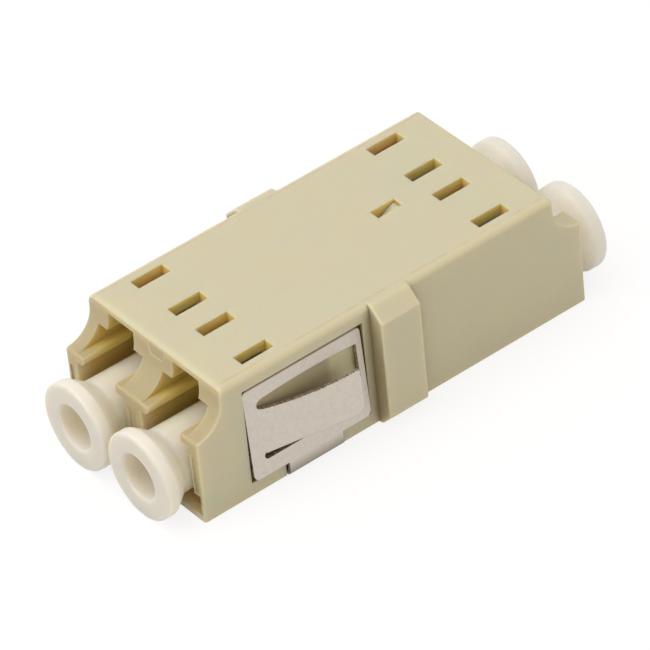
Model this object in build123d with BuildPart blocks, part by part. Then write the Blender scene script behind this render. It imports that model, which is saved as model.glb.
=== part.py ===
import os
from math import cos, radians, sin, tan

from build123d import *

os.makedirs("parts", exist_ok=True)

# Duplex adapter for small latching fibre plugs: two ports at each end, side by side.
# Origin: bottom centre of the housing. X across the two ports, Y along the fibres, Z up.

# Housing, outside
body_length = 29.6
side_wall = 0.925         # between a port and the housing's side
step_drop = 0.9           # straight part of each end above the hollow step
step_radius = 2.0         # hollow step that sets the top back from the ends
top_edge_radius = 0.5
step_edge_radius = 0.22
end_edge_radius = 0.2
bottom_edge_radius = 0.12

# Ports
port_pitch = 6.25
port_width = 4.6
port_height = 4.85        # from the floor to the lips
axis_lift = 2.3           # fibre axis over the floor
floor_wall = 0.65
mouth_radius = 0.2        # rounding of the walls beside each mouth
floor_lead_in = 0.15
floor_lead_length = 0.5
partition = 1.2           # housing's half of the middle wall

# Latch space above each port
lip_overhang = 0.75       # of each lip over the plug's body
lip_thickness = 0.58
lip_radius = 0.22
latch_inset = 0.12        # of the latch recess inside the port's walls, each side
latch_height = 1.33
catch_length = 2.55       # block that holds the plug's latch
chamber_length = 2.63
chamber_rise = 0.75       # chamber's roof over the latch recess
lever_width = 2.55
lever_rise = 1.23         # lever gap's roof over the latch recess
lever_roof = 0.36         # housing left over the lever gap
lever_run_end = 3.0       # how near to the middle the lever's slot runs

# Slots in the top
slot_width = 0.9
slot_inset = 0.04         # from the side of the chamber
slot_end_gap = 0.25       # from the chamber's inner end
window_width = 0.83
window_length = 1.88
window_place = 5.08

# Marks on the end faces
pad_width = 0.46
pad_inset = 0.15          # from the port's wall
pad_height = 2.85
pad_bottom = 2.12
pad_depth = 0.1
divider_pad_width = 0.85
divider_pad_height = 4.1
divider_pad_bottom = 0.9
relief_width = 0.72
relief_height = 1.33
relief_depth = 1.4
ejector_mark_radius = 0.8
ejector_mark_drop = 0.4   # its centre below the top
ejector_mark_shift = 0.3
ejector_mark_depth = 0.06

# Wings
wing_length = 3.0
wing_root = 1.0           # how far a wing's section runs into the wall
wing_reach = 1.12
wing_top_run = 1.0
wing_top_drop = 0.95
wing_shoulder_radius = 0.5
wing_bottom_cut = 0.88
wing_corner_radius = 0.2
wing_edge_radius = 0.14

# Sleeve seats
barrel_gap = 0.85         # between a barrel and the port's walls
sleeve_play = 0.04        # round a sleeve in its seat
sleeve_end_play = 0.1
sleeve_catch = 0.09       # how far a barrel's lip covers the sleeve's end
sleeve_lip = 0.3

# Split sleeves
sleeve_bore = 1.25
sleeve_wall = 0.185
sleeve_length = 6.4
sleeve_slit = 0.3

# Sleeve holder
holder_plate = 1.2
holder_play = 0.03
arm_play = 0.04           # beside the snap arm
arm_roof = 0.85           # housing left over the arm's slot
ramp_rise = 0.62
ramp_length = 1.5
ramp_flat = 0.25

# Mounting clip
sheet = 0.25
clip_lean = 3.5           # degrees: the side plates spread towards the strap
lean_height = 4.4         # where a side plate is flush with the housing's side
clip_drop = 1.25          # clip's upper edge below the top
clip_bottom = 1.1
clip_length = 8.88
clip_wing_gap = 0.7       # between the clip and the wing
clip_corner = 0.45
clip_play = 0.04          # between a side plate's upper edge and its pocket
strap_inset = 2.58        # from the clip's near edge
strap_width = 4.1
strap_lift = 0.02
strap_bend = 0.42
pocket_play = 0.1
pocket_top_play = 0.22
strap_play = 0.12
frame_top = 1.15          # clip's frame over its window
frame_bottom = 1.13
frame_near = 1.23
frame_far = 0.42
window_arch = 0.15
finger_gap_top = 0.74
finger_gap_bottom = 0.42
finger_gap_tip = 0.73
finger_dip = 0.28         # of the hollow upper edge, below its root
finger_dip_shift = 1.2    # lowest place of that edge beyond its middle
finger_tip_drop = 0.08
finger_corner = 0.65
finger_tip_corner = 0.16   # of its upper corner
finger_angle = 10.3       # degrees outwards
finger_notch_play = 0.04  # left on each side of the round notch over its root
finger_notch_radius = 0.27  # of the one under its root

# Dust caps
cap_play = 0.17           # between a cap's body and the port's walls
cap_taper = 0.08          # of the body towards the nose, each side
cap_gap = 0.39            # between two flanges side by side
cap_rim = 0.85
cap_cone = 1.1
cap_stand = 0.25          # between the housing's end and the foot of the cone
cap_nose_gap = 0.8        # between a cap's nose and the middle wall
cap_wall = 0.58           # of the body at the mouth of its bore
cap_bore_taper = 0.15     # of the bore towards its end, each side
socket_play = 0.05        # round a barrel in a cap's socket
socket_end_play = 0.4
cap_web = 1.6
cap_rim_radius = 0.18
cap_back_radius = 0.32    # of the rim towards the cone
cap_foot_radius = 0.4     # between the cone and the body

port_x = port_pitch / 2
axis_height = floor_wall + axis_lift
port_top = floor_wall + port_height
lip_top = port_top + lip_thickness
latch_top = lip_top + latch_height
chamber_top = latch_top + chamber_rise
lever_top = latch_top + lever_rise
body_width = port_pitch + port_width + 2 * side_wall
body_height = lever_top + lever_roof
half_width = body_width / 2
half_length = body_length / 2
top_half = half_length - step_radius
step_centre = body_height - step_drop
step_foot = step_centre - step_radius
lip_gap = port_width - 2 * lip_overhang
latch_width = port_width - 2 * latch_inset
catch_end = top_half - catch_length
chamber_end = catch_end - chamber_length
slot_length = chamber_length - slot_end_gap
slot_spacing = port_width - slot_width - 2 * slot_inset
wall_inner = port_x + port_width / 2
lip_inner = port_x - lip_gap / 2
arm_width = window_width - 2 * arm_play
arm_top = body_height - arm_roof
sleeve_diameter = sleeve_bore + 2 * sleeve_wall
sleeve_seat_diameter = sleeve_diameter + 2 * sleeve_play
sleeve_mouth_diameter = sleeve_diameter - 2 * sleeve_catch
barrel_diameter = port_width - 2 * barrel_gap
barrel_reach = sleeve_length / 2 + sleeve_end_play + sleeve_lip
window_start = window_place - window_length / 2
window_end = window_place + window_length / 2
beyond = 1.0              # how far a cutter runs past the face that it opens
over = 0.1                # how far one cutter runs into the next
pick = 0.01               # reach when an edge or corner is picked by its place


# Side profile of the housing, with a hollow step at each end.
with BuildSketch(Plane.YZ.offset(-half_width)) as side_profile:
    with BuildLine():
        lower = Line((half_length, 0), (-half_length, 0))
        end_near = Line(lower @ 1, (-half_length, step_foot))
        hollow_near = CenterArc((-half_length, step_centre), step_radius, -90, 90)
        rise_near = Line((-top_half, step_centre), (-top_half, body_height))
        roof = Line(rise_near @ 1, (top_half, body_height))
        rise_far = Line(roof @ 1, (top_half, step_centre))
        hollow_far = CenterArc((half_length, step_centre), step_radius, 180, 90)
        end_far = Line((half_length, step_foot), lower @ 0)
    make_face()


# Outside of the housing before anything is cut into it.
with BuildPart() as blank:
    extrude(side_profile.sketch, amount=body_width, dir=(1, 0, 0))
    step_sides = blank.edges().filter_by(GeomType.CIRCLE)
    fillet(step_sides, step_edge_radius)
    step_feet = blank.edges().filter_by(Axis.X).filter_by_position(
        Axis.Z, step_foot - pick, step_foot + pick)
    fillet(step_feet, end_edge_radius)
    fillet(blank.edges().filter_by(Axis.Y).group_by(Axis.Z)[-1], top_edge_radius)
    fillet(blank.edges().group_by(Axis.Z)[0], bottom_edge_radius)


# One wing, full height, bevelled towards the top and cut back at the bottom.
with BuildPart() as wing:
    with BuildSketch(Plane.XZ.offset(-wing_length / 2)):
        with BuildLine():
            Polyline(
                (half_width - wing_root, 0),
                (half_width + wing_reach - wing_bottom_cut, 0),
                (half_width + wing_reach, wing_bottom_cut),
                (half_width + wing_reach, body_height - wing_top_drop),
                (half_width + wing_reach - wing_top_run, body_height),
                (half_width - wing_root, body_height),
                close=True,
            )
        make_face()
    extrude(amount=wing_length)
    wing_corners = wing.edges().filter_by(Axis.Y).group_by(Axis.X)[-1]
    fillet(wing_corners, wing_corner_radius)
    wing_shoulder = wing.edges().filter_by(Axis.Y).group_by(Axis.Z)[-1].sort_by(Axis.X)[-1]
    fillet(wing_shoulder, wing_shoulder_radius)
    wing_rim = wing.faces().filter_by(Axis.Y).edges().filter_by_position(
        Axis.X, half_width, half_width + wing_reach + over)
    fillet(wing_rim, wing_edge_radius)


# Everything that is open in one near port, from the mouth to the middle wall.
with BuildPart() as port_space:
    with BuildSketch(Plane.XZ.offset(partition)):
        with Locations((port_x, floor_wall)):
            Rectangle(port_width, port_height, align=(Align.CENTER, Align.MIN))
    extrude(amount=half_length + beyond - partition)
    # Throat: plug space, gap between the lips, latch recess and lever gap in one outline.
    with BuildSketch(Plane.XZ.offset(chamber_end)) as throat:
        with Locations((port_x, floor_wall)):
            Rectangle(port_width, port_height, align=(Align.CENTER, Align.MIN))
        with Locations((port_x, (port_top + lip_top) / 2)):
            Rectangle(lip_gap, lip_thickness)
        with Locations((port_x, (lip_top + latch_top) / 2)):
            Rectangle(latch_width, latch_height)
        with Locations((port_x, (latch_top + lever_top) / 2)):
            Rectangle(lever_width, lever_top - latch_top)
        lip_corners = throat.vertices().filter_by_position(
            Axis.X, port_x - lip_gap / 2 - pick, port_x + lip_gap / 2 + pick)
        fillet(lip_corners.filter_by_position(Axis.Y, port_top - pick, lip_top + pick), lip_radius)
    extrude(amount=half_length + beyond - chamber_end)
    # Latch chamber behind the catch, open to the top through two slots.
    with BuildSketch(Plane.XZ.offset(chamber_end)):
        with Locations((port_x, (latch_top + chamber_top) / 2)):
            Rectangle(port_width, chamber_top - latch_top + 2 * over)
    extrude(amount=chamber_length)
    with BuildSketch(Plane.XY.offset(chamber_top - 2 * over)):
        with Locations((port_x, -catch_end + slot_length / 2)):
            with GridLocations(slot_spacing, 1, 2, 1):
                Rectangle(slot_width, slot_length)
    extrude(amount=body_height - chamber_top + beyond)
    # Run of the lever, between the chamber and the lever's hinge.
    with BuildSketch(Plane.XZ.offset(lever_run_end)):
        with Locations((port_x, (port_top + latch_top) / 2 - over)):
            Rectangle(lip_gap, latch_top - port_top + 2 * over)
    extrude(amount=chamber_end - lever_run_end + over)
    # Rounded mouth beside the plug and between the lips.
    for reach, low, high in ((port_width / 2, floor_wall, port_top), (lip_gap / 2, port_top, lip_top)):
        with BuildSketch(Plane.XY.offset(low)) as mouth:
            with BuildLine():
                turn = CenterArc(
                    (port_x + reach + mouth_radius, -half_length + mouth_radius),
                    mouth_radius, 180, 90)
                Polyline(
                    turn @ 1,
                    (port_x + reach + mouth_radius, -half_length - beyond),
                    (port_x + reach - over, -half_length - beyond),
                    (port_x + reach - over, -half_length + mouth_radius),
                    turn @ 0,
                )
            make_face()
            mirror(about=Plane.YZ.offset(port_x))
        extrude(amount=high - low)
    # Lead-in along the floor.
    with BuildSketch(Plane.YZ.offset(port_x - port_width / 2)):
        with BuildLine():
            Polyline(
                (-half_length - over, floor_wall - floor_lead_in),
                (-half_length, floor_wall - floor_lead_in),
                (-half_length + floor_lead_length, floor_wall),
                (-half_length + floor_lead_length, floor_wall + over),
                (-half_length - over, floor_wall + over),
                close=True,
            )
        make_face()
    extrude(amount=port_width + relief_width)
    # Relief in the outer bottom corner and the shallow pad above it.
    with BuildSketch(Plane.XZ.offset(half_length - relief_depth)):
        with Locations((wall_inner - over, floor_wall)):
            Rectangle(relief_width + over, relief_height, align=(Align.MIN, Align.MIN))
    extrude(amount=relief_depth + beyond)
    with BuildSketch(Plane.XZ.offset(half_length - pad_depth)):
        with Locations((wall_inner + pad_inset, pad_bottom)):
            Rectangle(pad_width, pad_height, align=(Align.MIN, Align.MIN))
    extrude(amount=pad_depth + beyond)


# What the sleeve holder slides through in the far half.
with BuildPart() as holder_space:
    with BuildSketch(Plane.XZ):
        with Locations((0, floor_wall)):
            Rectangle(2 * wall_inner, port_height, align=(Align.CENTER, Align.MIN))
    extrude(amount=-(half_length - 2 * mouth_radius))
    with BuildSketch(Plane.XZ.offset(-partition)):
        with Locations((0, floor_wall)):
            Rectangle(port_pitch, port_height, align=(Align.CENTER, Align.MIN))
    extrude(amount=-(half_length - partition + beyond))
    with BuildSketch(Plane.XZ.offset(-chamber_end)):
        with Locations((0, port_top - over)):
            Rectangle(2 * lip_inner, latch_top - port_top + over, align=(Align.CENTER, Align.MIN))
    extrude(amount=-(half_length - chamber_end + beyond))
    with BuildSketch(Plane.XZ.offset(-window_start)):
        with Locations((0, port_top - over)):
            Rectangle(window_width, arm_top - port_top + over, align=(Align.CENTER, Align.MIN))
    extrude(amount=-(half_length - window_start + beyond))
    with BuildSketch(Plane.XY.offset(arm_top - over)):
        with Locations((0, window_place)):
            Rectangle(window_width, window_length)
    extrude(amount=arm_roof + beyond)


# Place of the clip: edges of the side plates, strap, window and finger, and the bend's centre.
clip_top = body_height - clip_drop
clip_far = -wing_length / 2 - clip_wing_gap
clip_near = clip_far - clip_length
strap_near = clip_near + strap_inset
strap_far = strap_near + strap_width
window_top = clip_top - frame_top
window_bottom = clip_bottom + frame_bottom
window_near = clip_near + frame_near
window_far = clip_far - frame_far
finger_top = window_top - finger_gap_top
finger_bottom = window_bottom + finger_gap_bottom
finger_tip = window_far - finger_gap_tip
lean = radians(clip_lean)
bend_x = half_width + (lean_height - strap_lift - strap_bend) * tan(lean) - strap_bend / cos(lean)
bend_z = strap_lift + strap_bend
bend_end_x = bend_x + strap_bend * cos(lean)
bend_end_z = bend_z + strap_bend * sin(lean)
plate_run = (clip_top - bend_end_z) / cos(lean)
outer_top = (bend_end_x - plate_run * sin(lean), clip_top)
inner_top = (outer_top[0] - sheet * cos(lean), clip_top - sheet * sin(lean))
turn_angle = 90 + clip_lean

# Pocket for one side plate of the clip, with the way down for its strap.
pocket_depth = half_width - inner_top[0] + clip_play
pocket_near = clip_near - pocket_play
pocket_far = clip_far + pocket_play
pocket_low = clip_bottom - strap_play
channel_near = strap_near - strap_play
channel_far = strap_far + strap_play
with BuildPart() as clip_pocket:
    with BuildSketch(Plane.YZ.offset(half_width - pocket_depth)) as pocket_outline:
        with Locations((pocket_near, pocket_low)):
            Rectangle(pocket_far - pocket_near, clip_top + pocket_top_play - pocket_low,
                      align=(Align.MIN, Align.MIN))
        with Locations((channel_near, -beyond)):
            Rectangle(channel_far - channel_near, pocket_low + beyond + over,
                      align=(Align.MIN, Align.MIN))
        fillet(pocket_outline.vertices().filter_by_position(
            Axis.Y, pocket_low - pick, pocket_low + pick).filter_by_position(
            Axis.X, pocket_near + pick, pocket_far - pick), strap_play * 2)
    extrude(amount=pocket_depth + beyond)


with BuildPart() as housing:
    add(blank.part)
    add(wing.part)
    add(mirror(wing.part, about=Plane.YZ))
    near_ports = port_space.part + mirror(port_space.part, about=Plane.YZ)
    add(near_ports, mode=Mode.SUBTRACT)
    add(mirror(near_ports, about=Plane.XZ), mode=Mode.SUBTRACT)
    add(holder_space.part, mode=Mode.SUBTRACT)
    add(clip_pocket.part, mode=Mode.SUBTRACT)
    add(mirror(clip_pocket.part, about=Plane.YZ), mode=Mode.SUBTRACT)
    # Channel across the underside for the clip's strap.
    with BuildSketch(Plane.XY):
        with Locations((0, (channel_near + channel_far) / 2)):
            Rectangle(body_width + beyond, channel_far - channel_near)
    extrude(amount=strap_lift + sheet, mode=Mode.SUBTRACT)
    # Barrels on the middle wall, each with its half of a sleeve seat.
    with BuildSketch(Plane.XZ.offset(partition - over)):
        with Locations((-port_x, axis_height), (port_x, axis_height)):
            Circle(barrel_diameter / 2)
    extrude(amount=barrel_reach - partition + over)
    with BuildSketch(Plane.XZ.offset(-over)):
        with Locations((-port_x, axis_height), (port_x, axis_height)):
            Circle(sleeve_seat_diameter / 2)
    extrude(amount=barrel_reach - sleeve_lip + over, mode=Mode.SUBTRACT)
    with BuildSketch(Plane.XZ.offset(barrel_reach - sleeve_lip - over)):
        with Locations((-port_x, axis_height), (port_x, axis_height)):
            Circle(sleeve_mouth_diameter / 2)
    extrude(amount=sleeve_lip + beyond, mode=Mode.SUBTRACT)
    # Shallow pad on the divider's end and the mark of an ejector pin above it.
    with BuildSketch(Plane.XZ.offset(half_length - pad_depth)):
        with Locations((0, divider_pad_bottom)):
            Rectangle(divider_pad_width, divider_pad_height, align=(Align.CENTER, Align.MIN))
    extrude(amount=pad_depth + beyond, mode=Mode.SUBTRACT)
    with BuildSketch(Plane.XZ.offset(top_half - ejector_mark_depth)):
        with Locations((ejector_mark_shift, body_height - ejector_mark_drop)):
            Circle(ejector_mark_radius)
        with Locations((ejector_mark_shift, body_height - 2 * ejector_mark_depth)):
            Rectangle(2 * ejector_mark_radius, step_drop, align=(Align.CENTER, Align.MAX),
                      mode=Mode.INTERSECT)
    extrude(amount=ejector_mark_depth + 2 * over, mode=Mode.SUBTRACT)
housing.part.label = "housing"
export_step(housing.part, "parts/housing.step")


# Insert from the far end: plate, two barrels, divider with its lips, and the snap arm.
with BuildPart() as sleeve_holder:
    with BuildSketch(Plane.XZ.offset(-partition)):
        with Locations((0, floor_wall)):
            Rectangle(port_pitch, port_height, align=(Align.CENTER, Align.MIN))
    extrude(amount=-(half_length - partition))
    with BuildSketch(Plane.XZ.offset(-chamber_end - holder_play)):
        with Locations((0, port_top - over)):
            Rectangle(port_pitch, latch_top - port_top + over - holder_play,
                      align=(Align.CENTER, Align.MIN))
    extrude(amount=-(half_length - chamber_end - holder_play))
    add(mirror(near_ports, about=Plane.XZ), mode=Mode.SUBTRACT)
    with BuildSketch(Plane.XZ.offset(-window_start - holder_play)):
        with Locations((0, port_top - over)):
            Rectangle(arm_width, arm_top - port_top + over - holder_play,
                      align=(Align.CENTER, Align.MIN))
    extrude(amount=-(top_half - window_start - holder_play))
    with BuildSketch(Plane.YZ.offset(-arm_width / 2)):
        with BuildLine():
            Polyline(
                (window_end - holder_play - ramp_length, arm_top - over),
                (window_end - holder_play - ramp_length, arm_top - holder_play),
                (window_end - holder_play - ramp_flat, arm_top + ramp_rise),
                (window_end - holder_play, arm_top + ramp_rise),
                (window_end - holder_play, arm_top - over),
                close=True,
            )
        make_face()
    extrude(amount=arm_width)
    add(blank.part, mode=Mode.INTERSECT)
    with BuildSketch(Plane.XZ):
        with Locations((0, floor_wall)):
            Rectangle(2 * (wall_inner - holder_play), port_height - holder_play,
                      align=(Align.CENTER, Align.MIN))
    extrude(amount=-holder_plate)
    with BuildSketch(Plane.XZ.offset(-holder_plate + over)):
        with Locations((-port_x, axis_height), (port_x, axis_height)):
            Circle(barrel_diameter / 2)
    extrude(amount=-(barrel_reach - holder_plate + over))
    with BuildSketch(Plane.XZ.offset(over)):
        with Locations((-port_x, axis_height), (port_x, axis_height)):
            Circle(sleeve_seat_diameter / 2)
    extrude(amount=-(barrel_reach - sleeve_lip + over), mode=Mode.SUBTRACT)
    with BuildSketch(Plane.XZ.offset(over - barrel_reach + sleeve_lip)):
        with Locations((-port_x, axis_height), (port_x, axis_height)):
            Circle(sleeve_mouth_diameter / 2)
    extrude(amount=-(sleeve_lip + beyond), mode=Mode.SUBTRACT)
    with BuildSketch(Plane.XZ.offset(pad_depth - half_length)):
        with Locations((0, divider_pad_bottom)):
            Rectangle(divider_pad_width, divider_pad_height, align=(Align.CENTER, Align.MIN))
    extrude(amount=-(pad_depth + beyond), mode=Mode.SUBTRACT)
sleeve_holder.part.label = "sleeve_holder"
export_step(sleeve_holder.part, "parts/sleeve_holder.step")


# Split sleeves, slit upwards.
with BuildPart() as split_sleeve_right:
    with BuildSketch(Plane.XZ.offset(-sleeve_length / 2)):
        with Locations((port_x, axis_height)):
            Circle(sleeve_diameter / 2)
            Circle(sleeve_bore / 2, mode=Mode.SUBTRACT)
            Rectangle(sleeve_slit, sleeve_diameter, align=(Align.CENTER, Align.MIN),
                      mode=Mode.SUBTRACT)
    extrude(amount=sleeve_length)
split_sleeve_right.part.label = "split_sleeve_right"
export_step(split_sleeve_right.part, "parts/split_sleeve_right.step")

with BuildPart() as split_sleeve_left:
    add(mirror(split_sleeve_right.part, about=Plane.YZ))
split_sleeve_left.part.label = "split_sleeve_left"
export_step(split_sleeve_left.part, "parts/split_sleeve_left.step")


# Clip: a sheet bent into a U under the housing, cut to outline, with a finger on each side.
with BuildPart() as finger:
    finger_plane = Plane(
        origin=(half_width - (finger_bottom - lean_height) * tan(lean), 0, finger_bottom),
        x_dir=(0, 1, 0),
        z_dir=(-sin(lean), 0, cos(lean)),
    )
    tip_run = finger_tip - window_near
    tip_out = tip_run * tan(radians(finger_angle))
    sheet_out = (-sheet * sin(radians(finger_angle)), sheet * cos(radians(finger_angle)))
    with BuildSketch(finger_plane.offset(-over)):
        with BuildLine():
            Polyline(
                (window_near - over, 0),
                (window_near, 0),
                (finger_tip, -tip_out),
                (finger_tip + sheet_out[0], -tip_out + sheet_out[1]),
                (window_near, sheet),
                (window_near - over, sheet),
                close=True,
            )
        make_face()
    extrude(amount=finger_top - finger_bottom + 2 * over)
    with BuildSketch(Plane.YZ.offset(half_width - 2 * beyond)) as finger_outline:
        with BuildLine():
            crown = ThreePointArc(
                (window_near - over, finger_top),
                ((window_near + finger_tip) / 2 + finger_dip_shift, finger_top - finger_dip),
                (finger_tip, finger_top - finger_tip_drop),
            )
            Polyline(
                crown @ 1,
                (finger_tip, finger_bottom),
                (window_near - over, finger_bottom),
                crown @ 0,
            )
        make_face()
        tip_corners = finger_outline.vertices().group_by(Axis.X)[-1].sort_by(Axis.Y)
        fillet(tip_corners[0], finger_corner)
        fillet(tip_corners[1], finger_tip_corner)
    extrude(amount=4 * beyond, mode=Mode.INTERSECT)

with BuildPart() as mounting_clip:
    with BuildSketch(Plane.XZ.offset(-clip_far)):
        with BuildLine():
            Line((-bend_x, strap_lift), (bend_x, strap_lift))
            outer_right = CenterArc((bend_x, bend_z), strap_bend, -90, turn_angle)
            Line(outer_right @ 1, outer_top)
            Line(outer_top, inner_top)
            inner_right = CenterArc((bend_x, bend_z), strap_bend - sheet, -90, turn_angle)
            Line(inner_top, inner_right @ 1)
            Line((bend_x, strap_lift + sheet), (-bend_x, strap_lift + sheet))
            inner_left = CenterArc((-bend_x, bend_z), strap_bend - sheet, 180 - clip_lean, turn_angle)
            Line(inner_left @ 0, (-inner_top[0], inner_top[1]))
            Line((-inner_top[0], inner_top[1]), (-outer_top[0], outer_top[1]))
            outer_left = CenterArc((-bend_x, bend_z), strap_bend, 180 - clip_lean, turn_angle)
            Line((-outer_top[0], outer_top[1]), outer_left @ 0)
        make_face()
    extrude(amount=clip_far - clip_near)
    # Outline of both side plates and the strap, seen from the side.
    with BuildSketch(Plane.YZ.offset(-half_width - beyond)) as clip_outline:
        with Locations((clip_near, clip_bottom)):
            Rectangle(clip_far - clip_near, clip_top - clip_bottom,
                      align=(Align.MIN, Align.MIN))
        fillet(clip_outline.vertices(), clip_corner)
        with Locations((strap_near, -over)):
            Rectangle(strap_far - strap_near, clip_bottom + 4 * over, align=(Align.MIN, Align.MIN))
        with BuildLine():
            arch = ThreePointArc(
                (window_near, window_top),
                ((window_near + window_far) / 2, window_top + window_arch),
                (window_far, window_top),
            )
            Polyline(
                arch @ 1,
                (window_far, window_bottom),
                (window_near, window_bottom),
                arch @ 0,
            )
        make_face(mode=Mode.SUBTRACT)
        with Locations((window_near, (finger_top + window_top) / 2)):
            Circle((window_top - finger_top) / 2 - finger_notch_play, mode=Mode.SUBTRACT)
        with Locations((window_near, window_bottom + finger_notch_radius)):
            Circle(finger_notch_radius, mode=Mode.SUBTRACT)
    extrude(amount=body_width + 2 * beyond, mode=Mode.INTERSECT)
    add(finger.part)
    add(mirror(finger.part, about=Plane.YZ))
mounting_clip.part.label = "mounting_clip"
export_step(mounting_clip.part, "parts/mounting_clip.step")


# Dust cap: hollow plug with a flange outside and a socket that slips over a barrel.
cap_foot = half_length + cap_stand
rim_back = cap_foot + cap_cone
cap_face = rim_back + cap_rim
cap_nose = partition + cap_nose_gap
cap_socket = barrel_diameter + 2 * socket_play
socket_end = barrel_reach + socket_end_play
cap_body_diameter = port_width - 2 * cap_play
cap_nose_diameter = cap_body_diameter - 2 * cap_taper
cap_flange_diameter = port_pitch - cap_gap
cap_bore = cap_body_diameter - 2 * cap_wall
cap_bore_end = cap_bore - 2 * cap_bore_taper
with BuildPart() as dust_cap_near_right:
    with BuildSketch(Plane.XY.offset(axis_height)) as cap_profile:
        with BuildLine():
            Polyline(
                (port_x + cap_socket / 2, -cap_nose),
                (port_x + cap_nose_diameter / 2, -cap_nose),
                (port_x + cap_body_diameter / 2, -cap_foot),
                (port_x + cap_flange_diameter / 2, -rim_back),
                (port_x + cap_flange_diameter / 2, -cap_face),
                (port_x + cap_bore / 2, -cap_face),
                (port_x + cap_bore_end / 2, -socket_end - cap_web),
                (port_x, -socket_end - cap_web),
                (port_x, -socket_end),
                (port_x + cap_socket / 2, -socket_end),
                close=True,
            )
        make_face()
        face_corners = cap_profile.vertices().group_by(Axis.Y)[0]
        fillet(face_corners, cap_rim_radius)
        fillet(cap_profile.vertices().group_by(Axis.X)[-1].sort_by(Axis.Y)[-1], cap_back_radius)
        fillet(cap_profile.vertices().filter_by_position(
            Axis.Y, -cap_foot - pick, -cap_foot + pick), cap_foot_radius)
    revolve(axis=Axis((port_x, 0, axis_height), (0, 1, 0)))
dust_cap_near_right.part.label = "dust_cap_near_right"
export_step(dust_cap_near_right.part, "parts/dust_cap_near_right.step")

with BuildPart() as dust_cap_near_left:
    add(mirror(dust_cap_near_right.part, about=Plane.YZ))
dust_cap_near_left.part.label = "dust_cap_near_left"
export_step(dust_cap_near_left.part, "parts/dust_cap_near_left.step")

with BuildPart() as dust_cap_far_right:
    add(mirror(dust_cap_near_right.part, about=Plane.XZ))
dust_cap_far_right.part.label = "dust_cap_far_right"
export_step(dust_cap_far_right.part, "parts/dust_cap_far_right.step")

with BuildPart() as dust_cap_far_left:
    add(mirror(dust_cap_near_left.part, about=Plane.XZ))
dust_cap_far_left.part.label = "dust_cap_far_left"
export_step(dust_cap_far_left.part, "parts/dust_cap_far_left.step")
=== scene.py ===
from math import radians

import bpy
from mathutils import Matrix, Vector

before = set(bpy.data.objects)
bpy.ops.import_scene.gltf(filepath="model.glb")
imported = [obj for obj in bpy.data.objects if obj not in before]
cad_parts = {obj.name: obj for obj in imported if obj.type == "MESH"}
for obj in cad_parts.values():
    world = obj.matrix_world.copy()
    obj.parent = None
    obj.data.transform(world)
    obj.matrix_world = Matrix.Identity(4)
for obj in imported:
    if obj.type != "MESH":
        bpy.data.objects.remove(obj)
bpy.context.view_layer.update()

print("fibre adapter: frame loaded, nodes", sorted(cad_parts))


# Camera, floor and light

cameraView = {
    "place": (0.2337546, -0.1647900, 0.2354302),
    "turn": (50.7312, 4.7039, 51.0291),  # degrees
    "lens": 339.01,
    "filmWidth": 36.0,
    "nearest": 0.01,
    "farthest": 20.0,
}


def addCamera(view):
    lensData = bpy.data.cameras.new("photoCamera")
    lensData.lens = view["lens"]
    lensData.sensor_width = view["filmWidth"]
    lensData.clip_start = view["nearest"]
    lensData.clip_end = view["farthest"]
    camera = bpy.data.objects.new("photoCamera", lensData)
    camera.location = view["place"]
    camera.rotation_euler = [radians(angle) for angle in view["turn"]]
    bpy.context.scene.collection.objects.link(camera)
    bpy.context.scene.camera = camera


studio = {
    "floorSize": 4.0,
    "floorColour": (0.82, 0.80, 0.75, 1.0),
    "floorRough": 0.9,
    "floorSpecular": 0.1,
    "floorWhite": 0.75,   # share of plain white that the eye sees in the floor
    "whiteStrength": 1.10,
    "fill": 0.57,
    "fillColour": (1.0, 0.99, 0.97, 1.0),
    "aim": (0.0, 0.0, 0.004),
    "lamps": [
        {"name": "overheadBox", "place": (-0.12, -0.12, 0.46), "size": 0.42, "power": 1.03,
         "colour": (1.0, 0.99, 0.965)},
        {"name": "frontBox", "place": (-0.10, -0.46, 0.26), "size": 0.34, "power": 0.62,
         "colour": (1.0, 0.985, 0.96)},
        {"name": "sideBox", "place": (0.50, 0.06, 0.16), "size": 0.34, "power": 0.18,
         "colour": (1.0, 0.98, 0.95)},
    ],
}


def addLamps(settings):
    for lamp in settings["lamps"]:
        lampData = bpy.data.lights.new(lamp["name"], "AREA")
        lampData.shape = "SQUARE"
        lampData.size = lamp["size"]
        lampData.energy = lamp["power"]
        lampData.color = lamp["colour"]
        lampObject = bpy.data.objects.new(lamp["name"], lampData)
        lampObject.location = lamp["place"]
        bpy.context.scene.collection.objects.link(lampObject)
        way = Vector(settings["aim"]) - Vector(lamp["place"])
        lampObject.rotation_euler = way.to_track_quat("-Z", "Y").to_euler()


def whiteForEye(tree):
    # one for camera, glossy and transmission rays, zero for the light that falls on the part
    path = tree.nodes.new("ShaderNodeLightPath")
    share = path.outputs["Is Camera Ray"]
    for ray in ("Is Glossy Ray", "Is Transmission Ray"):
        either = tree.nodes.new("ShaderNodeMath")
        either.operation = "MAXIMUM"
        tree.links.new(share, either.inputs[0])
        tree.links.new(path.outputs[ray], either.inputs[1])
        share = either.outputs[0]
    return share


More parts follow.
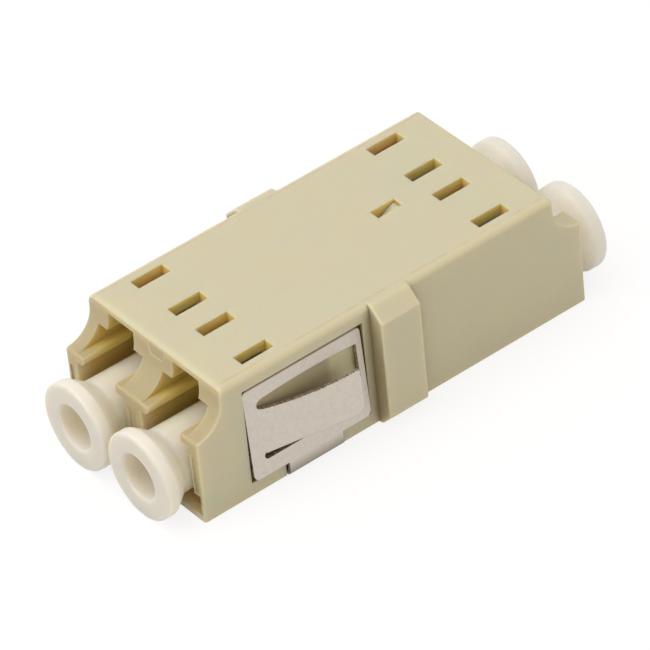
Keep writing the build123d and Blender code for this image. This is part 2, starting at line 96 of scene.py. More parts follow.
def setWorld(settings):
    world = bpy.data.worlds.new("paleRoom")
    bpy.context.scene.world = world
    world.use_nodes = True
    tree = world.node_tree
    tree.nodes.clear()
    fill = tree.nodes.new("ShaderNodeBackground")
    fill.inputs["Color"].default_value = settings["fillColour"]
    fill.inputs["Strength"].default_value = settings["fill"]
    white = tree.nodes.new("ShaderNodeBackground")
    white.inputs["Color"].default_value = (1.0, 1.0, 1.0, 1.0)
    white.inputs["Strength"].default_value = 1.0
    mix = tree.nodes.new("ShaderNodeMixShader")
    out = tree.nodes.new("ShaderNodeOutputWorld")
    tree.links.new(whiteForEye(tree), mix.inputs[0])
    tree.links.new(fill.outputs[0], mix.inputs[1])
    tree.links.new(white.outputs[0], mix.inputs[2])
    tree.links.new(mix.outputs[0], out.inputs["Surface"])


def addFloor(settings):
    half = settings["floorSize"] / 2
    mesh = bpy.data.meshes.new("paleFloor")
    corners = [(-half, -half, 0), (half, -half, 0), (half, half, 0), (-half, half, 0)]
    mesh.from_pydata(corners, [], [(0, 1, 2, 3)])
    floor = bpy.data.objects.new("paleFloor", mesh)
    bpy.context.scene.collection.objects.link(floor)
    material = bpy.data.materials.new("paleFloor")
    material.use_nodes = True
    tree = material.node_tree
    surface = tree.nodes["Principled BSDF"]
    surface.inputs["Base Color"].default_value = settings["floorColour"]
    surface.inputs["Roughness"].default_value = settings["floorRough"]
    surface.inputs["Specular IOR Level"].default_value = settings["floorSpecular"]
    white = tree.nodes.new("ShaderNodeEmission")
    white.inputs["Color"].default_value = (1.0, 1.0, 1.0, 1.0)
    white.inputs["Strength"].default_value = settings["whiteStrength"]
    share = tree.nodes.new("ShaderNodeMath")
    share.operation = "MULTIPLY"
    tree.links.new(whiteForEye(tree), share.inputs[0])
    share.inputs[1].default_value = settings["floorWhite"]
    both = tree.nodes.new("ShaderNodeMixShader")
    tree.links.new(share.outputs[0], both.inputs[0])
    tree.links.new(surface.outputs[0], both.inputs[1])
    tree.links.new(white.outputs[0], both.inputs[2])
    # the underside of the part can be looked at through the floor
    clear = tree.nodes.new("ShaderNodeBsdfTransparent")
    side = tree.nodes.new("ShaderNodeNewGeometry")
    mix = tree.nodes.new("ShaderNodeMixShader")
    tree.links.new(side.outputs["Backfacing"], mix.inputs[0])
    tree.links.new(both.outputs[0], mix.inputs[1])
    tree.links.new(clear.outputs[0], mix.inputs[2])
    tree.links.new(mix.outputs[0], tree.nodes["Material Output"].inputs["Surface"])
    mesh.materials.append(material)


addCamera(cameraView)
addFloor(studio)
addLamps(studio)
setWorld(studio)
bpy.context.scene.view_settings.view_transform = "Standard"
print("fibre adapter: camera, floor and lamps")


# Small tools for node trees

millimetres = 1000.0   # in a metre


def newGroup(name, inputs, outputs):
    tree = bpy.data.node_groups.new(name, "ShaderNodeTree")
    for label, kind, value in inputs:
        socket = tree.interface.new_socket(label, in_out="INPUT", socket_type=kind)
        socket.default_value = value
    for label, kind in outputs:
        tree.interface.new_socket(label, in_out="OUTPUT", socket_type=kind)
    return tree, tree.nodes.new("NodeGroupInput").outputs, tree.nodes.new("NodeGroupOutput").inputs


def plug(tree, value, socket):
    if isinstance(value, (int, float, tuple)):
        socket.default_value = value
    else:
        tree.links.new(value, socket)


def mathNode(tree, kind, a, b=0.0, c=0.0, clamp=False):
    node = tree.nodes.new("ShaderNodeMath")
    node.operation = kind
    node.use_clamp = clamp
    for value, socket in zip((a, b, c), node.inputs):
        plug(tree, value, socket)
    return node.outputs[0]


def ramp(tree, value, low, high):
    # zero at low, one at high, straight between them
    node = tree.nodes.new("ShaderNodeMapRange")
    node.clamp = True
    for slot, given in (("Value", value), ("From Min", low), ("From Max", high)):
        plug(tree, given, node.inputs[slot])
    return node.outputs["Result"]


def product(tree, first, *others):
    for other in others:
        first = mathNode(tree, "MULTIPLY", first, other)
    return first


def between(tree, value, low, high):
    # one from low to high, zero outside
    return product(tree, mathNode(tree, "GREATER_THAN", value, low), mathNode(tree, "LESS_THAN", value, high))


def mixColour(tree, share, first, second):
    node = tree.nodes.new("ShaderNodeMix")
    node.data_type = "RGBA"
    plug(tree, share, node.inputs[0])
    plug(tree, first, node.inputs[6])
    plug(tree, second, node.inputs[7])
    return node.outputs[2]


def scaled(tree, vector, factor):
    node = tree.nodes.new("ShaderNodeVectorMath")
    node.operation = "MULTIPLY" if isinstance(factor, tuple) else "SCALE"
    plug(tree, vector, node.inputs[0])
    plug(tree, factor, node.inputs[1] if isinstance(factor, tuple) else node.inputs["Scale"])
    return node.outputs[0]


def inMillimetres(tree):
    # the piece's own coordinates
    place = tree.nodes.new("ShaderNodeTexCoord")
    return scaled(tree, place.outputs["Object"], millimetres)


def noiseNode(tree, where, scale, detail, roughness):
    node = tree.nodes.new("ShaderNodeTexNoise")
    node.inputs["Detail"].default_value = detail
    node.inputs["Roughness"].default_value = roughness
    plug(tree, where, node.inputs["Vector"])
    plug(tree, scale, node.inputs["Scale"])
    return node.outputs["Fac"]


def shapeNormal(tree):
    place = tree.nodes.new("ShaderNodeTexCoord")
    return splitVector(tree, place.outputs["Normal"])


def splitVector(tree, vector):
    node = tree.nodes.new("ShaderNodeSeparateXYZ")
    plug(tree, vector, node.inputs[0])
    return node.outputs


def placeGroup(tree, group, values):
    node = tree.nodes.new("ShaderNodeGroup")
    node.node_tree = group
    for label, value in values.items():
        plug(tree, value, node.inputs[label])
    return node.outputs


# Effects that several finishes share

effects = {
    "coolOffset": (31.0, 17.0, 53.0),   # mm between the warm and the cool clouds
    "cloudDetail": 3.0,
    "cloudRoughness": 0.6,
    "warmFrom": 0.42,
    "warmTo": 0.68,
    "coolFrom": 0.45,
    "coolTo": 0.70,
    "grainDetail": 3.0,
    "grainRoughness": 0.75,
    "cornerRays": 6,
    "shadeRays": 8,
    "seamFrom": 0.45,   # how closed in a place is where a seam starts
    "seamTo": 0.85,
}


def makeClouding(settings):
    # slow drifts of tone to a warmer and a cooler colour, with a fine grain, as in a tinted moulding
    tree, given, result = newGroup(
        "mouldClouding",
        [
            ("Colour", "NodeSocketColor", (0.8, 0.8, 0.8, 1.0)),
            ("Warm", "NodeSocketColor", (0.8, 0.7, 0.6, 1.0)),
            ("Cool", "NodeSocketColor", (0.7, 0.8, 0.7, 1.0)),
            ("Cloud Size", "NodeSocketFloat", 2.0),
            ("Cloud Share", "NodeSocketFloat", 0.3),
            ("Grain Size", "NodeSocketFloat", 0.12),
            ("Grain Share", "NodeSocketFloat", 0.05),
        ],
        [("Colour", "NodeSocketColor"), ("Grain", "NodeSocketFloat"), ("Cloud", "NodeSocketFloat")],
    )
    where = inMillimetres(tree)
    shifted = tree.nodes.new("ShaderNodeVectorMath")
    shifted.operation = "ADD"
    shifted.inputs[1].default_value = settings["coolOffset"]
    tree.links.new(where, shifted.inputs[0])
    pitch = mathNode(tree, "DIVIDE", 1.0, given["Cloud Size"])
    detail, roughness = settings["cloudDetail"], settings["cloudRoughness"]
    warmNoise = noiseNode(tree, where, pitch, detail, roughness)
    coolNoise = noiseNode(tree, shifted.outputs[0], pitch, detail, roughness)
    warmth = ramp(tree, warmNoise, settings["warmFrom"], settings["warmTo"])
    coolness = ramp(tree, coolNoise, settings["coolFrom"], settings["coolTo"])
    toned = mixColour(tree, product(tree, warmth, given["Cloud Share"]), given["Colour"], given["Warm"])
    toned = mixColour(tree, product(tree, coolness, given["Cloud Share"]), toned, given["Cool"])
    finePitch = mathNode(tree, "DIVIDE", 1.0, given["Grain Size"])
    grain = noiseNode(tree, where, finePitch, settings["grainDetail"], settings["grainRoughness"])
    level = mathNode(tree, "MULTIPLY_ADD", mathNode(tree, "SUBTRACT", grain, 0.5), given["Grain Share"], 1.0)
    tree.links.new(scaled(tree, toned, level), result["Colour"])
    tree.links.new(grain, result["Grain"])
    tree.links.new(warmth, result["Cloud"])
    return tree


def makeSpecks():
    # sparse small spots: one in a few cells carries one
    tree, given, result = newGroup(
        "sparseSpecks",
        [
            ("Spacing", "NodeSocketFloat", 1.0),
            ("Size", "NodeSocketFloat", 0.1),
            ("Kept Share", "NodeSocketFloat", 0.3),
        ],
        [("Mask", "NodeSocketFloat")],
    )
    cells = tree.nodes.new("ShaderNodeTexVoronoi")
    plug(tree, inMillimetres(tree), cells.inputs["Vector"])
    plug(tree, mathNode(tree, "DIVIDE", 1.0, given["Spacing"]), cells.inputs["Scale"])
    far = product(tree, cells.outputs["Distance"], given["Spacing"])
    spot = mathNode(tree, "SUBTRACT", 1.0, mathNode(tree, "DIVIDE", far, given["Size"]), clamp=True)
    chance = tree.nodes.new("ShaderNodeSeparateColor")
    tree.links.new(cells.outputs["Color"], chance.inputs[0])
    kept = mathNode(tree, "LESS_THAN", chance.outputs[0], given["Kept Share"])
    strength = product(tree, kept, chance.outputs[1])
    tree.links.new(product(tree, spot, strength), result["Mask"])
    return tree


def makeCorners(settings):
    # corners of a piece, found from how far a rounded normal leaves the true one
    tree, given, result = newGroup(
        "softCorners",
        [("Reach", "NodeSocketFloat", 0.0002), ("Gain", "NodeSocketFloat", 2.0)],
        [("Mask", "NodeSocketFloat"), ("Normal", "NodeSocketVector")],
    )
    rounded = tree.nodes.new("ShaderNodeBevel")
    rounded.samples = settings["cornerRays"]
    tree.links.new(given["Reach"], rounded.inputs["Radius"])
    flat = tree.nodes.new("ShaderNodeNewGeometry")
    dot = tree.nodes.new("ShaderNodeVectorMath")
    dot.operation = "DOT_PRODUCT"
    tree.links.new(rounded.outputs[0], dot.inputs[0])
    tree.links.new(flat.outputs["Normal"], dot.inputs[1])
    turned = mathNode(tree, "SUBTRACT", 1.0, dot.outputs["Value"])
    tree.links.new(mathNode(tree, "MULTIPLY", turned, given["Gain"], clamp=True), result["Mask"])
    tree.links.new(rounded.outputs[0], result["Normal"])
    return tree


def makeCavities(settings):
    # one deep inside ports, slots and seams, zero on open surfaces
    tree, given, result = newGroup(
        "deepPlaces",
        [
            ("Reach", "NodeSocketFloat", 0.002),
            ("Open", "NodeSocketFloat", 0.2),
            ("Deep", "NodeSocketFloat", 0.8),
        ],
        [("Mask", "NodeSocketFloat")],
    )
    shade = tree.nodes.new("ShaderNodeAmbientOcclusion")
    shade.samples = settings["shadeRays"]
    shade.only_local = True
    tree.links.new(given["Reach"], shade.inputs["Distance"])
    closed = mathNode(tree, "SUBTRACT", 1.0, shade.outputs["AO"])
    tree.links.new(ramp(tree, closed, given["Open"], given["Deep"]), result["Mask"])
    return tree


def makeSeams(settings):
    # one where another piece lies close over the surface
    tree, given, result = newGroup(
        "tightSeams",
        [("Reach", "NodeSocketFloat", 0.0005), ("Above", "NodeSocketFloat", 0.8)],
        [("Mask", "NodeSocketFloat")],
    )
    shade = tree.nodes.new("ShaderNodeAmbientOcclusion")
    shade.samples = settings["shadeRays"]
    tree.links.new(given["Reach"], shade.inputs["Distance"])
    closed = mathNode(tree, "SUBTRACT", 1.0, shade.outputs["AO"])
    tight = ramp(tree, closed, settings["seamFrom"], settings["seamTo"])
    height = splitVector(tree, inMillimetres(tree))["Z"]
    offFloor = mathNode(tree, "GREATER_THAN", height, given["Above"])
    tree.links.new(product(tree, tight, offFloor), result["Mask"])
    return tree


clouding = makeClouding(effects)
specks = makeSpecks()
corners = makeCorners(effects)
cavities = makeCavities(effects)
seams = makeSeams(effects)
print("fibre adapter: shared effects")


def startMaterial(name):
    material = bpy.data.materials.new(name)
    material.use_nodes = True
    tree = material.node_tree
    return material, tree, tree.nodes["Principled BSDF"]


def finishSurface(tree, surface, colour, grain, look):
    tree.links.new(colour, surface.inputs["Base Color"])
    rough = mathNode(tree, "MULTIPLY_ADD", grain, look["roughSwing"], look["rough"])
    tree.links.new(rough, surface.inputs["Roughness"])


def bumpFrom(tree, surface, height, depth, base):
    bump = tree.nodes.new("ShaderNodeBump")
    bump.inputs["Distance"].default_value = depth
    tree.links.new(height, bump.inputs["Height"])
    tree.links.new(base, bump.inputs["Normal"])
    tree.links.new(bump.outputs[0], surface.inputs["Normal"])


def cloudedColour(tree, look):
    return placeGroup(tree, clouding, {
        "Colour": look["colour"], "Warm": look["warm"], "Cool": look["cool"],
        "Cloud Size": look["cloudSize"], "Cloud Share": look["cloudShare"],
        "Grain Size": look["grainSize"], "Grain Share": look["grainShare"],
    })


def spotted(tree, colour, look, share=1.0):
    spots = placeGroup(tree, specks, {
        "Spacing": look["speckSpacing"], "Size": look["speckSize"], "Kept Share": look["speckShare"],
    })
    depth = product(tree, spots["Mask"], look["speckDepth"], share)
    return mixColour(tree, depth, colour, look["speckColour"])


# painted shade: the given shaded colour is mixed in where a surface is closed in
def hollowShaded(tree, colour, look, shaded, kept=1.0):
    cavity = placeGroup(tree, cavities, {
        "Reach": look["cavityReach"], "Open": look["cavityOpen"], "Deep": look["cavityDeep"],
    })
    share = product(tree, cavity["Mask"], look["cavityShadeShare"], kept)
    return mixColour(tree, share, colour, shaded)


def glowThrough(surface, look):
    surface.inputs["Subsurface Weight"].default_value = look["depthShare"]
    surface.inputs["Subsurface Radius"].default_value = look["depthByColour"]
    surface.inputs["Subsurface Scale"].default_value = look["depth"]


def coat(nodeName, material):
    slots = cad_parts[nodeName].data.materials
    slots.clear()
    slots.append(material)


# Housing

housingLook = {
    "colour": (0.640, 0.585, 0.410, 1.0),
    "warm": (0.665, 0.580, 0.385, 1.0),
    "cool": (0.610, 0.585, 0.420, 1.0),
    "cloudSize": 2.6,
    "cloudShare": 0.5,
    "grainSize": 0.15,
    "grainShare": 0.09,
    "speckSpacing": 1.3,
    "speckSize": 0.11,
    "speckShare": 0.35,
    "speckColour": (0.38, 0.26, 0.12, 1.0),
    "speckDepth": 0.5,
    # painted highlight: a lighter, warmer tone along the edges
    "cornerReach": 0.00012,
    "cornerGain": 2.2,
    "cornerColour": (0.76, 0.685, 0.490, 1.0),
    "cornerShare": 0.7,
    # painted shade in deep places: a warm, saturated tone for light bounced inside the plastic
    "cavityReach": 0.0060,
    "cavityOpen": 0.16,
    "cavityDeep": 0.55,
    "cavityShadeColour": (0.655, 0.505, 0.125, 1.0),
    "cavityShadeShare": 0.95,
    "cavityTopShadeColour": (0.765, 0.595, 0.215, 1.0),   # painted shade in the slots of the top
    "cavityTopFrom": 7.6,
    "cavityTopTo": 8.4,
    "endShadeColour": (0.46, 0.375, 0.205, 1.0),   # painted shade on the stepped ends, darker and more yellow than the top
    "endShadeShare": 0.85,
    "farEndShadeShare": 0.3,
    "endFrom": 12.64,   # mm from the middle
    "endTo": 12.70,
    "endSquare": 0.45,   # how far an end's surface may face sideways
    "endAskew": 0.75,
    "endFace": 14.8,   # mm from the middle, where the ports' painted shade starts
    "endDepth": 13.7,
    "riserFrom": 12.7,   # faces above the hollow steps, which take none of the ports' painted shade
    "riserAbove": 7.7,
    "sillBelow": 1.3,   # the ports' lower edge keeps their painted shade right to the end
    "creviceShadeColour": (0.28, 0.205, 0.08, 1.0),   # painted shade outside, beside the wings and the clip
    # the crevices' painted shade, lighter where the pockets get painted light
    "creviceLitColour": (0.62, 0.55, 0.29, 1.0),
    "creviceFrom": 5.7,   # mm from the middle
    "creviceTo": 5.95,
    # painted shade in the narrow gaps where another piece lies close outside
    "seamReach": 0.0005,
    "seamAbove": 0.8,
    "seamShadeColour": (0.15, 0.08, 0.015, 1.0),
    "seamShadeShare": 0.85,
    "rough": 0.40,
    "roughSwing": 0.18,
    "grainDepth": 0.000006,
    "depthShare": 0.75,
    "depthByColour": (1.0, 0.74, 0.32),
    "depth": 0.0012,
    "edgeLineAt": 5.85,   # of the fine line along the top from the middle, mm
    "edgeLineWidth": 0.14,
    "edgeLineColour": (0.575, 0.475, 0.285, 1.0),
    "edgeLineShare": 0.75,
    "edgeLineBreaks": 0.9,   # per mm
    "edgeLineDetail": 3.0,
    "edgeLineRoughness": 0.5,
    "edgeLineGone": 0.35,
    "edgeLineWhole": 0.60,
    "roundHighlightColour": (0.73, 0.655, 0.450, 1.0),   # painted highlight where an edge is rounded over
    "roundHighlightShare": 0.6,
    "roundFrom": 0.15,   # how far a surface is turned both sideways and up
    "roundTo": 0.45,
    "pocketShadeColour": (0.345, 0.235, 0.075, 1.0),   # painted shade on the floors of the clip's pockets
    "pocketLitColour": (0.74, 0.67, 0.37, 1.0),   # painted light on their part beside the wing
    "pocketLitFrom": -4.7,
    "pocketLitTo": -4.25,
    "pocketEnd": -2.5,
    "pocketTo": 6.28,
    "pocketShadeShare": 0.75,
    "pocketFlat": 0.9,   # how squarely a pocket's floor faces sideways
    "topAbove": 8.85,
}


def lineAlongTop(tree, colour, where, place, look):
    # fine darker line where the flat top starts to turn down to each side
    offLine = mathNode(tree, "SUBTRACT", mathNode(tree, "ABSOLUTE", place["X"]), look["edgeLineAt"])
    near = ramp(tree, mathNode(tree, "ABSOLUTE", offLine), look["edgeLineWidth"], 0.0)
    onTop = mathNode(tree, "GREATER_THAN", place["Z"], look["topAbove"])
    breaks = noiseNode(tree, where, look["edgeLineBreaks"], look["edgeLineDetail"], look["edgeLineRoughness"])
    broken = ramp(tree, breaks, look["edgeLineGone"], look["edgeLineWhole"])
    return mixColour(tree, product(tree, near, onTop, broken, look["edgeLineShare"]),
                     colour, look["edgeLineColour"])


def shadeEnds(tree, colour, place, fromMiddle, acrossNormal, look):
    # painted shade on the stepped ends, over the ports' lower edge, stronger at the near end
    atEnd = product(tree,
                    ramp(tree, fromMiddle, look["endFrom"], look["endTo"]),
                    mathNode(tree, "LESS_THAN", place["Z"], look["topAbove"]))
    square = product(tree,
                     ramp(tree, acrossNormal, look["endAskew"], look["endSquare"]),
                     mathNode(tree, "GREATER_THAN", place["Z"], look["sillBelow"]))
    nearEnd = mathNode(tree, "LESS_THAN", place["Y"], 0.0)
    moreNear = look["endShadeShare"] - look["farEndShadeShare"]
    share = mathNode(tree, "MULTIPLY_ADD", nearEnd, moreNear, look["farEndShadeShare"])
    return mixColour(tree, product(tree, atEnd, square, share), colour, look["endShadeColour"])


def portShadeKept(tree, place, fromMiddle, look):
    # where the ports' painted shade may show: not on the end faces, nor above the hollow steps
    riser = product(tree,
                    mathNode(tree, "GREATER_THAN", fromMiddle, look["riserFrom"]),
                    mathNode(tree, "GREATER_THAN", place["Z"], look["riserAbove"]))
    inwards = ramp(tree, fromMiddle, look["endFace"], look["endDepth"])
    onSill = mathNode(tree, "LESS_THAN", place["Z"], look["sillBelow"])
    return product(tree, mathNode(tree, "MAXIMUM", inwards, onSill), mathNode(tree, "SUBTRACT", 1.0, riser))


def mouldedPlastic(name, look):
    material, tree, surface = startMaterial(name)
    cloud = cloudedColour(tree, look)
    edge = placeGroup(tree, corners, {"Reach": look["cornerReach"], "Gain": look["cornerGain"]})
    normal = shapeNormal(tree)
    where = inMillimetres(tree)
    place = splitVector(tree, where)
    fromMiddle = mathNode(tree, "ABSOLUTE", place["Y"])
    offCentre = mathNode(tree, "ABSOLUTE", place["X"])
    acrossNormal = mathNode(tree, "ABSOLUTE", normal["X"])

    # painted highlight where the top turns down to the sides
    slanted = product(tree, acrossNormal, mathNode(tree, "MAXIMUM", normal["Z"], 0.0))
    rounded = product(tree, ramp(tree, slanted, look["roundFrom"], look["roundTo"]), look["roundHighlightShare"])
    colour = mixColour(tree, rounded, cloud["Colour"], look["roundHighlightColour"])
    colour = shadeEnds(tree, colour, place, fromMiddle, acrossNormal, look)
    colour = lineAlongTop(tree, colour, where, place, look)
    # painted highlight along the edges
    colour = mixColour(tree, product(tree, edge["Mask"], look["cornerShare"]), colour, look["cornerColour"])

    # painted shade on the clip's pockets' floors, with painted light beside the wing
    outside = ramp(tree, offCentre, look["creviceFrom"], look["creviceTo"])
    sunk = product(tree, outside, mathNode(tree, "LESS_THAN", offCentre, look["pocketTo"]))
    floor = product(tree, sunk, mathNode(tree, "GREATER_THAN", acrossNormal, look["pocketFlat"]))
    lit = product(tree,
                  ramp(tree, place["Y"], look["pocketLitFrom"], look["pocketLitTo"]),
                  mathNode(tree, "LESS_THAN", place["Y"], look["pocketEnd"]))
    pocket = mixColour(tree, lit, look["pocketShadeColour"], look["pocketLitColour"])
    colour = mixColour(tree, product(tree, floor, look["pocketShadeShare"]), colour, pocket)

    # painted shade in deep places: ports, slots of the top, crevices outside
    high = ramp(tree, place["Z"], look["cavityTopFrom"], look["cavityTopTo"])
    inside = mixColour(tree, high, look["cavityShadeColour"], look["cavityTopShadeColour"])
    crevice = mixColour(tree, lit, look["creviceShadeColour"], look["creviceLitColour"])
    shaded = mixColour(tree, outside, inside, crevice)
    colour = hollowShaded(tree, colour, look, shaded, portShadeKept(tree, place, fromMiddle, look))
    # painted shade, dark brown, in the narrow gaps outside
    seam = placeGroup(tree, seams, {"Reach": look["seamReach"], "Above": look["seamAbove"]})
    dark = product(tree, seam["Mask"], outside, look["seamShadeShare"])
    colour = mixColour(tree, dark, colour, look["seamShadeColour"])

    finishSurface(tree, surface, spotted(tree, colour, look), cloud["Grain"], look)
    glowThrough(surface, look)
    bumpFrom(tree, surface, cloud["Grain"], look["grainDepth"], edge["Normal"])
    return material


coat("housing", mouldedPlastic("beigeMoulding", housingLook))
print("fibre adapter: housing")


# Sleeve holder

holderLook = dict(
    housingLook,
    colour=(0.63, 0.575, 0.405, 1.0),
    warm=(0.64, 0.565, 0.37, 1.0),
    cool=(0.61, 0.575, 0.42, 1.0),
    # less of the painted edge highlight
    cornerShare=0.1,
)

coat("sleeve_holder", mouldedPlastic("paleMoulding", holderLook))
print("fibre adapter: sleeve holder")


# Dust caps

capLook = {
    "colour": (0.955, 0.885, 0.775, 1.0),   # body, cone and bore, painted lighter than the face for light passing through the plastic into their shaded parts
    "warm": (0.920, 0.780, 0.620, 1.0),
    "cool": (0.910, 0.855, 0.750, 1.0),
    "faceColour": (0.672, 0.642, 0.580, 1.0),
    "faceWarm": (0.680, 0.625, 0.540, 1.0),
    "faceClouds": 0.5,
    # the rim, with less of the body's painted light
    "rimColour": (0.825, 0.775, 0.700, 1.0),
    "rimFrom": 15.2,   # mm from the middle, where the rim's colour comes in
    "rimTo": 16.6,
    "rimShare": 0.8,
    "portShadeColour": (0.925, 0.790, 0.635, 1.0),   # painted shade, warm, on the part that sits in the port
    "portFrom": 15.05,
    "portTo": 14.5,
    "portShadeShare": 0.8,
    "faceFrom": 0.15,   # how squarely a surface faces outwards where the face's colour starts
    "faceTo": 0.75,
    "cloudSize": 1.1,
    "cloudShare": 0.65,
    "grainSize": 0.10,
    "grainShare": 0.10,
    "speckSpacing": 0.20,
    "speckSize": 0.065,
    "speckShare": 0.60,
    "speckColour": (0.62, 0.46, 0.30, 1.0),
    "speckDepth": 0.45,
    "faceSpecks": 0.15,
    "cornerReach": 0.00010,
    # painted shade in the bores and hollows: a warmer tone
    "cavityReach": 0.0022,
    "cavityOpen": 0.40,
    "cavityDeep": 0.95,
    "cavityShadeColour": (0.90, 0.725, 0.47, 1.0),
    "cavityShadeShare": 0.8,
    "rough": 0.36,
    "roughSwing": 0.16,
    "grainDepth": 0.000007,
    "depthShare": 1.0,
    "depthByColour": (1.0, 0.86, 0.66),
    "depth": 0.0016,
}


def waxyPlastic(name, look):
    material, tree, surface = startMaterial(name)
    cloud = cloudedColour(tree, look)
    normal = shapeNormal(tree)
    along = splitVector(tree, inMillimetres(tree))["Y"]
    fromMiddle = mathNode(tree, "ABSOLUTE", along)
    outward = product(tree, normal["Y"], mathNode(tree, "SIGN", along))
    onFace = ramp(tree, outward, look["faceFrom"], look["faceTo"])
    towardsRim = product(tree, ramp(tree, fromMiddle, look["rimFrom"], look["rimTo"]), look["rimShare"])
    body = mixColour(tree, towardsRim, cloud["Colour"], look["rimColour"])
    # painted shade, warm, where the cap sits in the port
    inPortShade = product(tree, ramp(tree, fromMiddle, look["portFrom"], look["portTo"]), look["portShadeShare"])
    body = mixColour(tree, inPortShade, body, look["portShadeColour"])
    face = mixColour(tree, product(tree, cloud["Cloud"], look["faceClouds"]),
                     look["faceColour"], look["faceWarm"])
    colour = mixColour(tree, onFace, body, face)
    colour = hollowShaded(tree, colour, look, look["cavityShadeColour"])
    dusty = mathNode(tree, "SUBTRACT", 1.0, product(tree, onFace, 1.0 - look["faceSpecks"]))
    finishSurface(tree, surface, spotted(tree, colour, look, dusty), cloud["Grain"], look)
    glowThrough(surface, look)
    edge = placeGroup(tree, corners, {"Reach": look["cornerReach"]})
    bumpFrom(tree, surface, cloud["Grain"], look["grainDepth"], edge["Normal"])
    return material


capPlastic = waxyPlastic("waxyCap", capLook)
for side in ("near_left", "near_right", "far_left", "far_right"):
    coat("dust_cap_" + side, capPlastic)
print("fibre adapter: dust caps")


# Clip

clipLook = {
    "colour": (0.605, 0.555, 0.485, 1.0),
    "warm": (0.570, 0.485, 0.400, 1.0),
    "cool": (0.500, 0.480, 0.450, 1.0),
    "cloudSize": 0.30,
    "cloudShare": 0.45,
    "grainSize": 0.06,
    "grainShare": 0.16,
    "rough": 0.40,
    "roughSwing": 0.2,
    "grainDepth": 0.000004,
    "cornerReach": 0.00004,
    "cornerGain": 3.0,
    "cornerColour": (0.19, 0.10, 0.03, 1.0),
    "cornerShare": 0.7,
    "cutAbove": 0.9,    # height over which a level face of the sheet is a cut one, mm
    "cutDark": (0.155, 0.085, 0.03, 1.0),
    "cutBright": (0.78, 0.72, 0.64, 1.0),
    "cutStreaks": (1.5, 9.0, 9.0),   # per mm, long through the sheet
    "streakDetail": 3.0,
    "streakRoughness": 0.7,
    "streakFrom": 0.35,
    "streakTo": 0.70,
    "sideFrom": 0.5,   # how little a cut surface faces sideways
    "sideTo": 0.2,
    "endwaysFrom": 0.6,   # how far one faces along the fibres
    "endwaysTo": 0.8,
    "burrReach": 0.00022,   # torn face along the finger's upper edge
    "burrGain": 4.0,
    "burrLow": 5.2,
    "burrHigh": 6.05,
    "burrNear": -9.9,
    "burrFar": -3.2,
    "burrSlant": 0.7,
    "burrAlong": 8.0,   # per mm
    "burrDown": 1.6,
    "burrDetail": 2.0,
    "burrRoughness": 0.6,
    "burrFrom": 0.40,
    "burrTo": 0.62,
    "burrDark": (0.26, 0.19, 0.125, 1.0),
    "burrBright": (0.86, 0.81, 0.73, 1.0),
    "burrShare": 0.9,
    "topFrom": 7.56,   # the plates' upper edge, with painted shadow under the pocket's lip
    "topTo": 7.68,
    "topShadowColour": (0.14, 0.078, 0.018, 1.0),
    "topShadowShare": 0.85,
    "bendShadeColour": (0.23, 0.195, 0.155, 1.0),   # painted shade at the bend of the strap
    "lowFrom": 1.1,
    "lowTo": 0.2,
    "bendShadeShare": 0.9,
    "flatUnder": -0.97,   # how far a surface is turned down: the strap's flat underside
    "bendUnder": -0.70,
    "cutShare": 0.9,
    "cutDepth": 4.0,
}


def tornEdge(tree, colour, place, look):
    # slanted bright and dark scratches where the finger was cut free
    edge = placeGroup(tree, corners, {"Reach": look["burrReach"], "Gain": look["burrGain"]})
    upright = between(tree, place["Z"], look["burrLow"], look["burrHigh"])
    lengthwise = between(tree, place["Y"], look["burrNear"], look["burrFar"])
    slant = mathNode(tree, "MULTIPLY_ADD", place["Z"], look["burrSlant"], place["Y"])
    grid = tree.nodes.new("ShaderNodeCombineXYZ")
    tree.links.new(product(tree, slant, look["burrAlong"]), grid.inputs["X"])
    tree.links.new(product(tree, place["Z"], look["burrDown"]), grid.inputs["Y"])
    scratches = noiseNode(tree, grid.outputs[0], 1.0, look["burrDetail"], look["burrRoughness"])
    torn = mixColour(tree, ramp(tree, scratches, look["burrFrom"], look["burrTo"]),
                     look["burrDark"], look["burrBright"])
    share = product(tree, upright, lengthwise, edge["Mask"], look["burrShare"])
    return mixColour(tree, share, colour, torn)


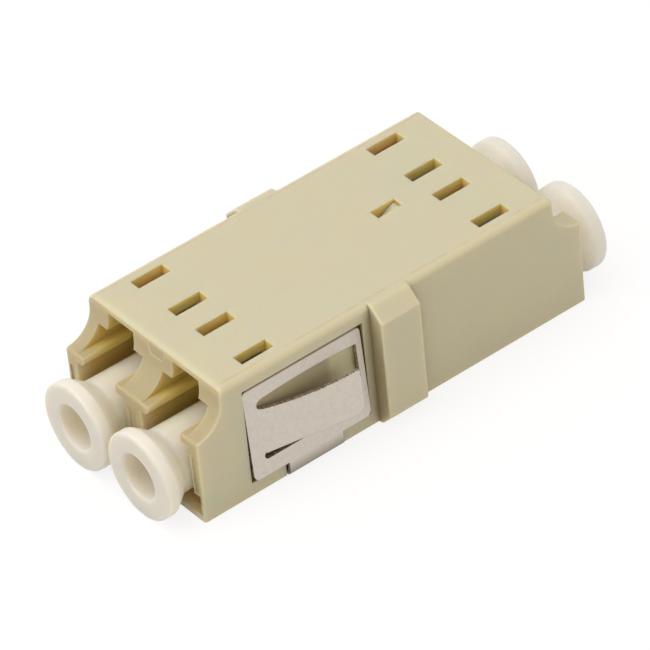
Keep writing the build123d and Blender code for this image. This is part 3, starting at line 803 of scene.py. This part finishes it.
def satinSheet(name, look):
    material, tree, surface = startMaterial(name)
    cloud = cloudedColour(tree, look)
    edge = placeGroup(tree, corners, {"Reach": look["cornerReach"], "Gain": look["cornerGain"]})
    colour = mixColour(tree, product(tree, edge["Mask"], look["cornerShare"]),
                       cloud["Colour"], look["cornerColour"])
    normal = shapeNormal(tree)
    where = inMillimetres(tree)
    place = splitVector(tree, where)
    height = place["Z"]

    # cut faces of the sheet, streaked through its thickness
    sideways = mathNode(tree, "ABSOLUTE", normal["X"])
    endways = mathNode(tree, "ABSOLUTE", normal["Y"])
    cut = product(tree,
                  ramp(tree, sideways, look["sideFrom"], look["sideTo"]),
                  mathNode(tree, "GREATER_THAN", height, look["cutAbove"]))
    cut = mathNode(tree, "MAXIMUM", cut, ramp(tree, endways, look["endwaysFrom"], look["endwaysTo"]))
    streaks = noiseNode(tree, scaled(tree, where, look["cutStreaks"]), 1.0,
                        look["streakDetail"], look["streakRoughness"])
    streak = ramp(tree, streaks, look["streakFrom"], look["streakTo"])
    cutColour = mixColour(tree, streak, look["cutDark"], look["cutBright"])
    colour = mixColour(tree, product(tree, cut, look["cutShare"]), colour, cutColour)

    colour = tornEdge(tree, colour, place, look)
    # painted shadow along the plates' upper edge
    upper = product(tree, ramp(tree, height, look["topFrom"], look["topTo"]), look["topShadowShare"])
    colour = mixColour(tree, upper, colour, look["topShadowColour"])
    # painted shade on the strap's bend, none on its flat underside
    bend = product(tree,
                   ramp(tree, height, look["lowFrom"], look["lowTo"]),
                   ramp(tree, normal["Z"], look["flatUnder"], look["bendUnder"]),
                   look["bendShadeShare"])
    colour = mixColour(tree, bend, colour, look["bendShadeColour"])

    surface.inputs["Metallic"].default_value = 1.0
    finishSurface(tree, surface, colour, cloud["Grain"], look)
    relief = mathNode(tree, "ADD", cloud["Grain"], product(tree, streak, cut, look["cutDepth"]))
    bumpFrom(tree, surface, relief, look["grainDepth"], edge["Normal"])
    return material


coat("mounting_clip", satinSheet("satinSteel", clipLook))
print("fibre adapter: clip")


# Split sleeves

sleeveLook = dict(
    clipLook,
    colour=(0.66, 0.44, 0.25, 1.0),
    warm=(0.60, 0.37, 0.20, 1.0),
    cool=(0.62, 0.46, 0.28, 1.0),
    rough=0.2,
    cutShare=0.0,
    bendShadeShare=0.0,
    topShadowShare=0.0,
    burrShare=0.0,
)

sleeveMetal = satinSheet("bronzeSleeve", sleeveLook)
for side in ("left", "right"):
    coat("split_sleeve_" + side, sleeveMetal)
print("fibre adapter: sleeves")


print("fibre adapter: done")
